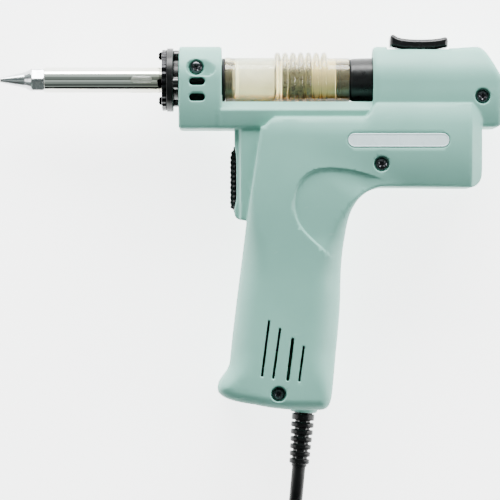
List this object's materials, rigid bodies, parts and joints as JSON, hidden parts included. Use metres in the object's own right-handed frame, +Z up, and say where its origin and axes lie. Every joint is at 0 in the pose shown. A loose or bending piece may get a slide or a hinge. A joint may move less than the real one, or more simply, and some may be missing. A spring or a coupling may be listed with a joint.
{
  "type": "desoldering pump",
  "caption": "Mains-powered desoldering pump in a pistol grip: heated suction nozzle, clear solder collector, rocker switch, knurled trigger and a coiled cord.",
  "frame": {"origin": "On the bench, under the middle of the gun's length and height as it lies on its right side; the cord isn't counted.", "axes": "+X from the nozzle tip to the back of the housing, +Y from the grip to the top of the gun, +Z up from the bench towards the gun's left side"},
  "size_m": [0.24, 0.3305, 0.042],
  "materials": {
    "housing_plastic": "fine moulded grain, satin",
    "black_plastic": "semi-gloss",
    "polished_steel": "polished, heat tinted",
    "nickel_plate": "bright, slightly worn",
    "black_oxide_steel": "satin",
    "spring_steel": "bright drawn wire and sheet",
    "brass": "satin",
    "black_rubber": "matte",
    "cord_vinyl": "satin vinyl",
    "clear_tube": "clear, slightly ambered",
    "label_film": "printed film, no lettering",
    "filter_wool": "fibrous",
    "ceramic_paper": "pressed, matt",
    "silicone_hose": "translucent, satin",
    "heater_ceramic": "unglazed",
    "plate_film": "satin film, no lettering",
    "circuit_laminate": "solder resist",
    "component_resin": "satin",
    "copper_winding": "enamelled"
  },
  "bodies": {
    "root": {"housing_left": "housing_plastic", "housing_right": "housing_plastic", "housing_screws": "black_oxide_steel", "nozzle": "nickel_plate", "heater_barrel": "polished_steel", "suction_pipe": "polished_steel", "heater_element": "heater_ceramic", "flange_front": "black_oxide_steel", "flange_rear": "black_plastic", "flange_screws": "polished_steel", "flange_standoffs": "brass", "neck_insulator": "black_plastic", "front_packing": "black_rubber", "holder_spring": "spring_steel", "vacuum_hose": "silicone_hose", "power_switch_body": "black_plastic", "switch_terminals": "brass", "pump_motor": "spring_steel", "pump_body": "black_plastic", "pump_diaphragm": "black_rubber", "pump_cover": "black_plastic", "pump_bracket": "spring_steel", "circuit_board": "circuit_laminate", "board_parts": "component_resin", "trigger_spring": "spring_steel", "microswitch": "black_plastic", "name_plate": "plate_film", "cord_clamp": "component_resin", "clamp_screws": "polished_steel", "strain_relief": "black_rubber", "mains_cord": "cord_vinyl", "mains_cord_coil": "cord_vinyl", "mains_cord_end": "cord_vinyl", "cord_tie": "cord_vinyl", "mains_plug": "black_plastic", "plug_blades": "brass"},
    "collector": {"collector_tube": "clear_tube", "tube_label": "label_film", "filter_element": "filter_wool", "filter_paper": "ceramic_paper", "rear_packing": "black_rubber", "packing_ring": "black_rubber", "rear_holder": "black_plastic"},
    "trigger_body": {"trigger": "black_plastic"},
    "rocker_body": {"power_rocker": "black_plastic"},
    "lever_body": {"switch_lever": "spring_steel"},
    "plunger_body": {"switch_plunger": "component_resin"},
    "rotor": {"motor_rotor": "copper_winding", "eccentric_cam": "brass"}
  },
  "joints": [
    {"name": "collector_slide", "type": "slide", "parent": "root", "child": "collector", "axis": [1, 0, 0], "range_m": [0, 0.006], "stiffness_N_per_m": 400, "springref_m": -0.006, "deforming": ["holder_spring", "vacuum_hose"]},
    {"name": "trigger_pull", "type": "slide", "parent": "root", "child": "trigger_body", "axis": [1, 0, 0], "range_m": [0, 0.002], "stiffness_N_per_m": 800, "springref_m": -0.002, "deforming": ["trigger_spring"]},
    {"name": "lever_press", "type": "hinge", "parent": "root", "child": "lever_body", "pos_m": [0.0013, 0.02495, 0.021], "axis": [0, 0, 1], "range_deg": [0, 9]},
    {"name": "plunger_press", "type": "slide", "parent": "root", "child": "plunger_body", "axis": [1, 0, 0], "range_m": [0, 0.001]},
    {"name": "power_rocker_tilt", "type": "hinge", "parent": "root", "child": "rocker_body", "pos_m": [0.08065, 0.07835, 0.021], "axis": [0, 0, 1], "range_deg": [0, 6]},
    {"name": "motor_spin", "type": "hinge", "parent": "root", "child": "rotor", "pos_m": [0.078, 0.03745, 0.021], "axis": [1, 0, 0], "continuous": true}
  ],
  "couplings": [
    {"joint": "lever_press", "follows": "trigger_pull", "rad_per_m": 78},
    {"joint": "plunger_press", "follows": "trigger_pull", "ratio": 0.45}
  ]
}
